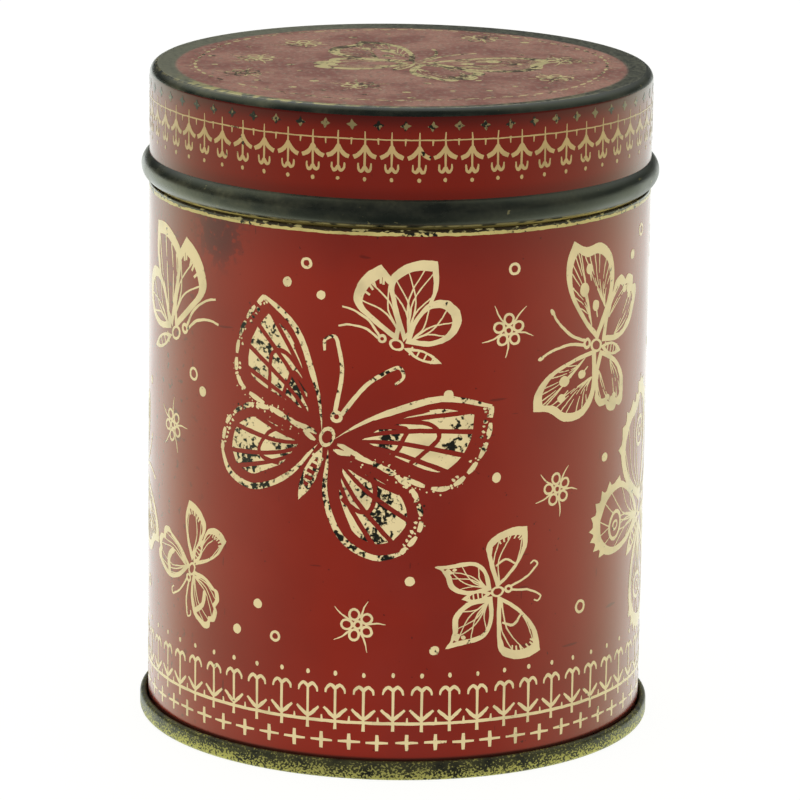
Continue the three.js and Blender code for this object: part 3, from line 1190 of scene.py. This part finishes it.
def enamel_paint():
    """The lid's black-green bead and shoulder, dull where it has been handled."""
    paint = Paint("black_enamel", IOR=1.5)
    cloud = paint.noise(0.1, 4, stretch=(1, 1, 2.5))
    fine = paint.noise(1.3, 4, seed=3)
    dust = paint.both(paint.rise(cloud, 0.35, 0.75), paint.grade(paint.rise(fine, 0.35, 0.65), 0.6, 1.0))
    left = paint.fall(paint.x, -40, -10)
    dark = paint.over(ENAMEL, BEAD_DUST, dust, paint.grade(left, 0.3, 1.0))
    chips = paint.patches(0.7, 0.73, 0.5, 5, stretch=(1, 1, 1.6), seed=8)
    flecks = paint.patches(0.42, 0.56, 0.35, 5, seed=13)
    lip = paint.both(paint.fall(paint.height, LID_BOTTOM + 0.2, LID_BOTTOM + 0.6), flecks)
    streaks = paint.patches(0.46, 0.56, 0.5, 7, seed=9)
    crest = paint.both(paint.rise(paint.height, LID_TOP - 0.4, LID_TOP - 0.05), streaks)
    corner = paint.both(crest, paint.fall(paint.x, -30, -8))
    worn = paint.either(paint.either(paint.both(chips, 0.3), lip), paint.both(corner, 0.35))
    paint.sets("Base Color", paint.over(dark, GOLD, worn))
    dull_right = paint.both(paint.rise(paint.x, 5, 40), 0.12)
    dull = paint.grade(paint.rise(cloud, 0.35, 0.7), 0.24, 0.34)
    paint.sets("Roughness", paint.maths("ADD", dull, dull_right))
    paint.bump(fine, 0.002, 0.4)
    return paint.material


def skirt_paint():
    """The skirt's red, darker than the body's, with painted shade that is darkest under the shoulder and
    dim along the bead.
    """
    paint, red = lithograph("red_skirt", 12, 0.3)
    red = paint.over(red, RED_SKIRT, 0.8)
    # Painted shade under the shoulder, which along its top edge also stands for the enamel's dark
    # overlap, and painted shade just above the bead.
    shade_under_shoulder = paint.both(paint.rise(paint.height, BEAD_TOP + 12, LID_TOP - 1.3), 0.75)
    shade_over_bead = paint.both(paint.fall(paint.height, BEAD_TOP + 0.3, BEAD_TOP + 3), 0.3)
    paint.sets("Base Color", paint.over(red, DEEP_RED, paint.either(shade_under_shoulder, shade_over_bead)))
    return paint.material


def top_paint():
    """The lid's rubbed top: dusty, scuffed red whose pale tone is partly a painted sheen, inside a
    mottled black-green band.
    """
    paint = Paint("rubbed_top", IOR=1.5)
    clouds = paint.noise(0.09, 8)
    scuffs = paint.noise(1.1, 6, stretch=(1, 0.6, 1), seed=2)
    # Painted sheen: the pale rose tone stands for the whitish haze that the rubbed red reflects at a low
    # view, besides its own dust and scuffs.
    rubbed_red_and_sheen = paint.mix(paint.rise(clouds, 0.38, 0.62), ROSE, ROSE_DEEP)
    rubbed_red_and_sheen = paint.over(rubbed_red_and_sheen, ROSE_SCUFF, paint.rise(scuffs, 0.48, 0.7), 0.5)
    spots = paint.patches(0.58, 0.66, 0.9, 5, seed=12)
    rubbed_red_and_sheen = paint.over(rubbed_red_and_sheen, ROSE_SPOT, spots, 0.6)
    grit = paint.patches(0.5, 0.64, 1.9, 4, seed=14)
    rubbed_red_and_sheen = paint.over(rubbed_red_and_sheen, ROSE_GRIT, grit, 0.5)
    wander = paint.both(paint.noise(0.09, 3, seed=5), 2.6)
    ragged = paint.both(paint.noise(1.3, 7, seed=6), 2.6)
    from_middle = paint.vector("DISTANCE", paint.place, (0, -2.5, LID_TOP))
    edge = paint.maths("SUBTRACT", from_middle, paint.maths("ADD", wander, ragged))
    band = paint.rise(edge, 42.2, 43.2)
    mottle = paint.patches(0.4, 0.62, 1.6, 6, seed=7)
    left = paint.fall(paint.x, -24, 10)
    dust = paint.maths("ADD", paint.grade(left, 0.1, 0.6), paint.both(mottle, 0.55))
    dark = paint.over(ENAMEL, BAND_DUST, dust)
    streaks = paint.patches(0.44, 0.56, 0.5, 7, seed=9)
    front = paint.fall(paint.y, -34, -12)
    worn = paint.both(paint.both(paint.rise(paint.radius, 44.6, 46.2), front), streaks)
    dark = paint.over(dark, EDGE_GOLD, worn, paint.grade(left, 0.15, 0.85))
    paint.sets("Base Color", paint.over(rubbed_red_and_sheen, dark, band))
    paint.sets("Roughness", paint.grade(band, 0.45, 0.28))
    paint.bump(scuffs, 0.05, 0.4)
    return paint.material


# ---------------------------------------------------------------- the stage


CAMERA_PLACE = (0.0006, -0.993, 0.3056)  # metres
LOOK_DOWN = 13.678
ROLL = 0.83
LENS = 227.9


def make_camera():
    data = bpy.data.cameras.new("camera")
    data.lens = LENS
    data.sensor_width = 36
    data.clip_end = 50
    camera = bpy.data.objects.new("camera", data)
    bpy.context.scene.collection.objects.link(camera)
    tilt = Matrix.Rotation(math.radians(90 - LOOK_DOWN), 4, "X")
    turn = Matrix.Rotation(math.radians(ROLL), 4, "Z")
    camera.matrix_world = Matrix.Translation(CAMERA_PLACE) @ tilt @ turn
    bpy.context.scene.camera = camera


FLOOR_HALF = 6000


def make_floor():
    """A large white table. It shows white, and its little shading only darkens under the tin."""
    sides = ((-1, -1), (1, -1), (1, 1), (-1, 1))
    corners = [(FLOOR_HALF * x, FLOOR_HALF * y, 0) for x, y in sides]
    floor = make_object("floor", corners, [(0, 1, 2, 3)])
    paint = Paint(
        "white_table",
        Base_Color=(0.12, 0.12, 0.12, 1),
        Roughness=1,
        Specular_IOR_Level=0,
        Emission_Color=(1, 1, 0.985, 1),
        Emission_Strength=0.92,
    )
    paint.material.cycles.emission_sampling = "NONE"
    floor.data.materials.append(paint.material)
    floor.visible_glossy = False
    floor.visible_diffuse = False


WHITE = (1, 1, 1, 1)
WARM_WHITE = (0.9, 1, 0.72, 1)
COOL_WHITE = (0.95, 1, 0.95, 1)
BACKDROP = 1.05


def make_world():
    """Soft light from all round. Glossy surfaces mirror a white table that is brighter behind the
    tin and at its sides than in front, under a dim sky with a soft light above the back."""
    world = bpy.data.worlds.new("studio")
    bpy.context.scene.world = world
    nodes = Nodes(world)
    nodes.tree.nodes.clear()
    world.cycles.sampling_method = "NONE"
    maths = nodes.maths

    def ramp(value, stops):
        node = nodes.add("ShaderNodeValToRGB", {0: value})
        elements = node.color_ramp.elements
        while len(elements) < len(stops):
            elements.new(0.5)
        for element, (position, level) in zip(elements, stops):
            element.position = position
            element.color = (level, level, level, 1)
        return node.outputs[0]

    x, y, z = nodes.parts(nodes.add("ShaderNodeTexCoord").outputs["Generated"])
    turn = maths("ABSOLUTE", maths("ARCTAN2", x, maths("MULTIPLY", y, -1.0)))
    turn = maths("DIVIDE", turn, math.pi)
    table_stops = [
        (0.0, 0.06), (0.11, 0.07), (0.17, 0.09), (0.28, 0.2), (0.4, 0.4), (0.5, 0.55),
        (0.6, 0.75), (0.68, 0.92), (0.75, 1.0), (0.85, 0.85), (1.0, 0.75),
    ]
    table = maths("MULTIPLY", ramp(turn, table_stops), 2.0)
    behind = ramp(turn, [(0.3, 0.0), (0.6, 1.0)])
    high = ramp(z, [(0.3, 0.0), (0.62, 1.0)])
    sky = maths("ADD", maths("MULTIPLY", maths("MULTIPLY", behind, high), 1.1), 0.04)
    above = ramp(z, [(0.0, 0.0), (0.03, 1.0)])
    mirrored = nodes.grade(above, table, sky)
    side_light = maths("MULTIPLY", x, -0.08)
    top_light = maths("MULTIPLY", z, 0.4)
    front_and_back = maths("MULTIPLY", maths("MULTIPLY", y, y), 0.6)
    soft = maths("ADD", maths("ADD", side_light, top_light), maths("ADD", front_and_back, 0.52))
    path = nodes.add("ShaderNodeLightPath").outputs
    light = nodes.grade(path["Is Glossy Ray"], soft, mirrored)
    light = nodes.grade(path["Is Camera Ray"], light, BACKDROP)
    table_tint = nodes.mix(ramp(turn, [(0.62, 0.0), (0.88, 1.0)]), WARM_WHITE, COOL_WHITE)
    tint = nodes.mix(path["Is Glossy Ray"], WHITE, table_tint)
    background = nodes.add("ShaderNodeBackground", {"Color": tint, "Strength": light})
    nodes.add("ShaderNodeOutputWorld", {0: background.outputs[0]})
    bpy.context.scene.view_settings.view_transform = "Standard"


# ---------------------------------------------------------------- the tin

make_camera()
make_floor()
make_world()

lacquer = lacquer_paint()
enamel = enamel_paint()


def wall_region(radius, height, outward, up):
    """0 outside, 1 inside."""
    return int(outward < -0.2)


def rim_region(radius, height, outward, up):
    """0 rim and underside, 1 the panel's upper face."""
    return int(radius < COLLAR_RADIUS - 0.1 and up > -0.3)


def lid_region(radius, height, outward, up):
    """0 skirt, 1 bead and shoulder, 2 top, 3 inside."""
    flat_edge = WALL_RADIUS - SHOULDER_RADIUS
    under_top = radius < flat_edge and height < LID_TOP - SHEET / 2
    behind_skirt = outward < -0.05 and height > LID_BOTTOM
    under_lip = radius < WALL_RADIUS - SHEET * 0.9 and up < 0
    if under_top or behind_skirt or under_lip:
        return 3
    if radius < flat_edge + 0.5 and up > 0.9:
        return 2
    if height > LID_TOP - SHOULDER_RADIUS + 0.4 or height < BEAD_TOP:
        return 1
    return 0


def belongs(piece, body, node=None):
    """Says which body a piece rides on, and the CAD node that it stands in for."""
    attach(piece, body)
    if node:
        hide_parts(node)


wall = printed_wall()
paint_by_place(wall, [wall_paint(), lacquer], wall_region)
belongs(wall, "can", "body_shell")

fold = side_seam_fold()
fold.data.materials.append(lacquer)
belongs(fold, "can")

rim = foot_rim()
paint_by_place(rim, [rim_paint(), lacquer], rim_region)
belongs(rim, "can", "bottom_end")

collar = collar_sleeve()
collar.data.materials.append(lacquer)
belongs(collar, "can", "neck_collar")

lid = slip_lid()
paint_by_place(lid, [skirt_paint(), enamel, top_paint(), lacquer], lid_region)
belongs(lid, "lid", "lid")


upright = round_wall(WALL_RADIUS)


def print_piece(name, drawing, body, ink, surface=upright, slice_width=SLICE):
    """One piece of the printed artwork, on the upright walls if nothing else is said."""
    piece = print_on(name, drawing, surface, slice_width)
    piece.data.materials.append(ink)
    belongs(piece, body)


light_ink = ink_paint("cream_ink", 0.3)
print_piece("body_motifs", body_artwork(), "can", light_ink)
print_piece("large_motif", large_butterfly(), "can", ink_paint("chipped_ink", 0.75))
print_piece("foot_border", foot_border(), "can", light_ink)
print_piece("worn_line", worn_line(), "can", ink_paint("rubbed_ink", 0.58, LINE_CREAM))
print_piece("skirt_border", skirt_border(), "lid", ink_paint("skirt_ink", 0.35, SKIRT_CREAM))
print_piece("skirt_stars", skirt_stars(), "lid", ink_paint("blackened_ink", 1.1, STAR_GOLD))
faded_ink = ink_paint("faded_ink", 0.9, TOP_CREAM, TOP_DARK, BLACK_IRON_AND_SHADE)
print_piece("top_motifs", lid_artwork(), "lid", faded_ink, flat_top(LID_TOP - TOP_SINK), None)
